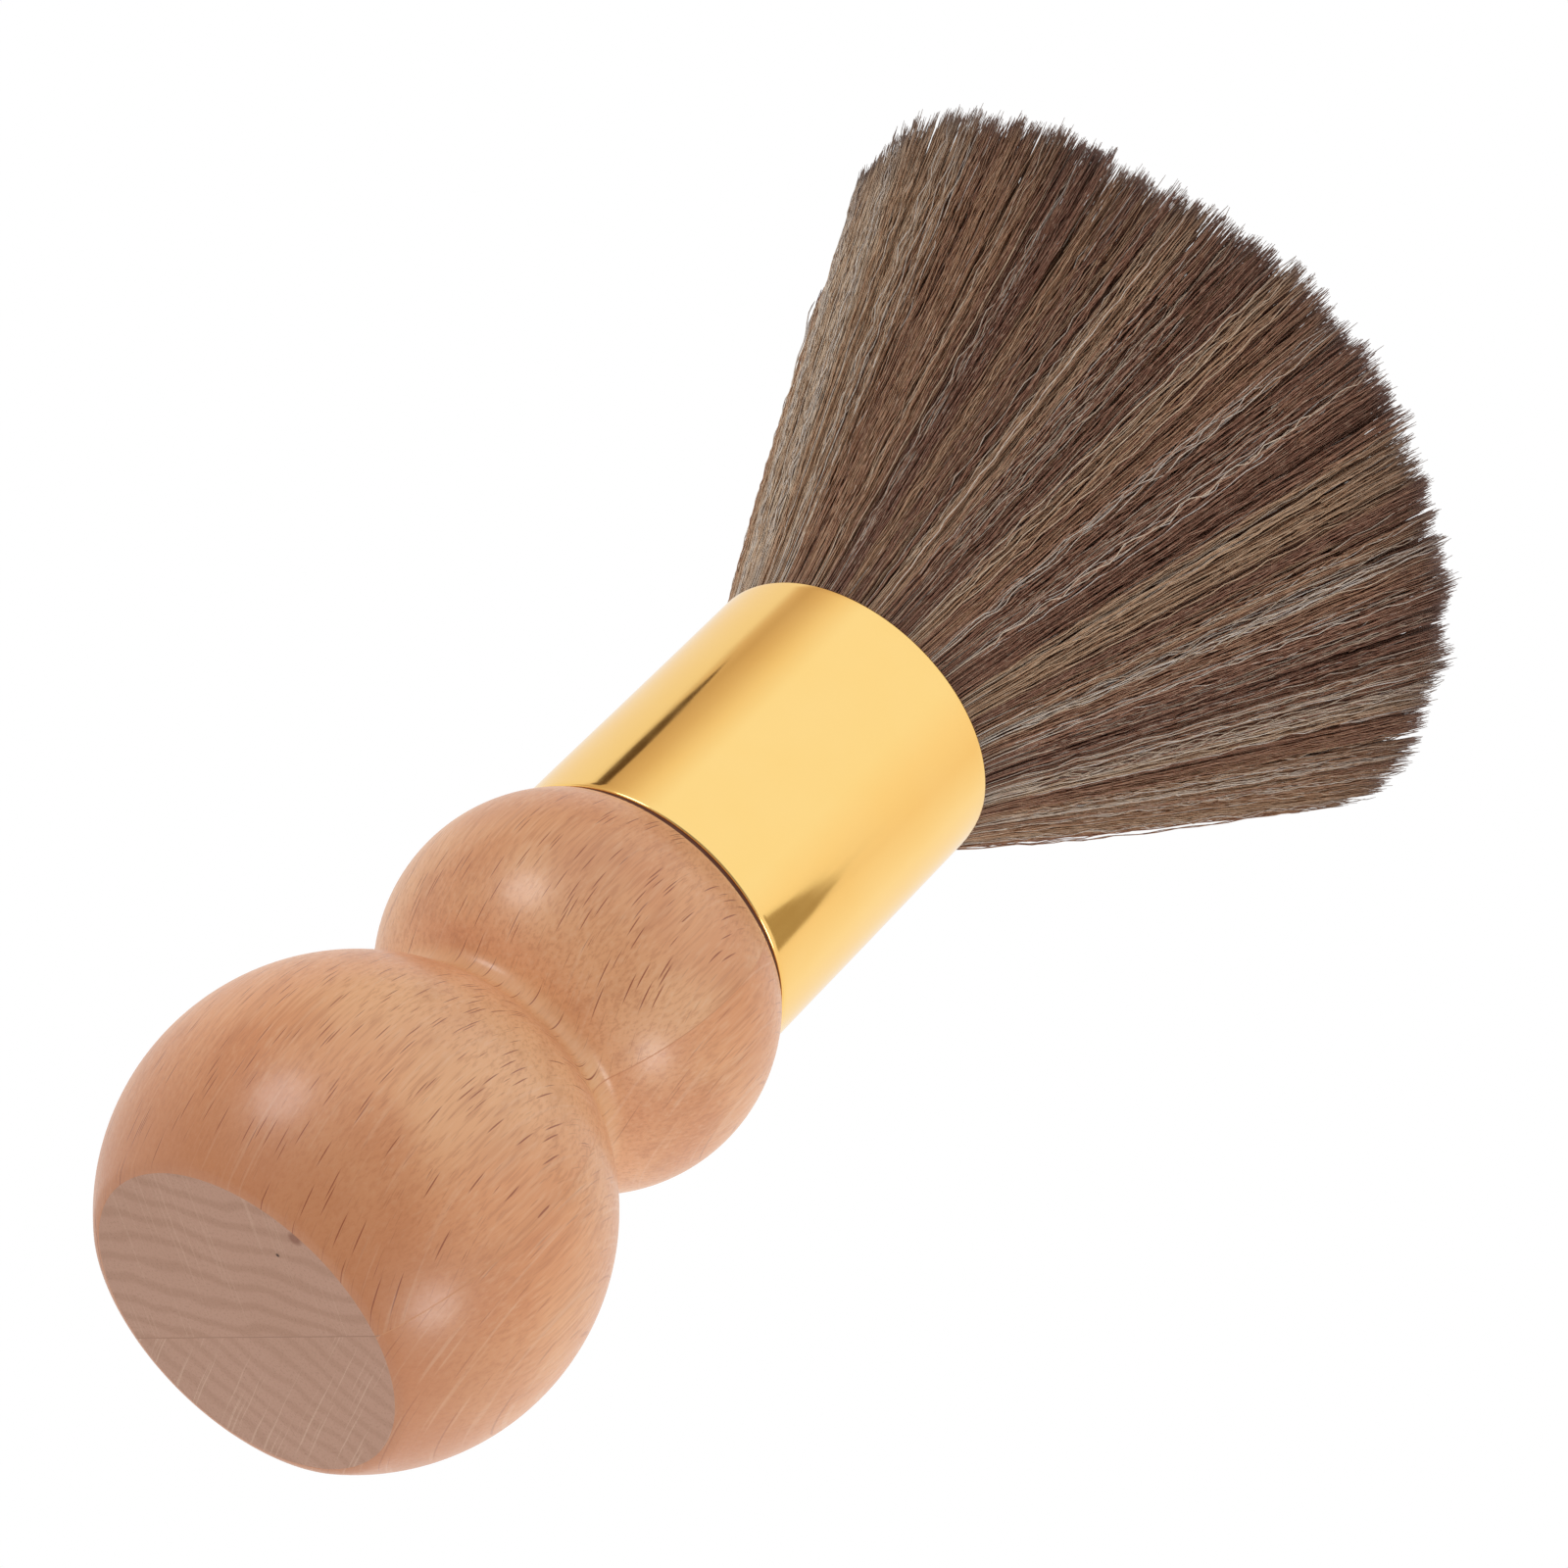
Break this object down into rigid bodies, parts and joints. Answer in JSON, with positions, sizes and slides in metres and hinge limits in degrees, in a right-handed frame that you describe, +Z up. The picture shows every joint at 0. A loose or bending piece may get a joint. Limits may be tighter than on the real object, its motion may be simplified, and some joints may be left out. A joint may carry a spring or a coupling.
{
  "type": "neck duster brush",
  "caption": "Barber's neck duster: turned beech handle with a ball grip and waist, polished gold tube ferrule and a dense flared tuft of soft brown fibres.",
  "frame": {"origin": "centre of the flat end of the handle, on which the brush stands", "axes": "+Z up along the brush's axis to the bristle tips, +X across the glued seam of the handle, +Y along the seam"},
  "size_m": [0.0862, 0.0862, 0.16],
  "materials": {
    "beech_flat_sawn": "gloss",
    "beech_quarter_sawn": "gloss",
    "wood_glue": "matte",
    "gold_tube": "polished",
    "dark_adhesive": "satin",
    "cast_resin": "gloss",
    "root_fibre": "satin",
    "fibre": "satin"
  },
  "bodies": {
    "handle": {"handle_block_left": "beech_flat_sawn", "handle_block_right": "beech_quarter_sawn", "handle_glue_line": "wood_glue", "ferrule": "gold_tube", "ferrule_adhesive": "dark_adhesive", "resin_plug": "cast_resin", "knot_root": "root_fibre"},
    "bristles": {"bristle_tuft": "fibre"}
  },
  "joints": [
    {"name": "tuft_bend", "type": "hinge", "parent": "handle", "child": "bristles", "pos_m": [0, 0, 0.1015], "axis": [0, 1, 0], "range_deg": [-18, 18], "stiffness_Nm_per_rad": 0.2}
  ]
}
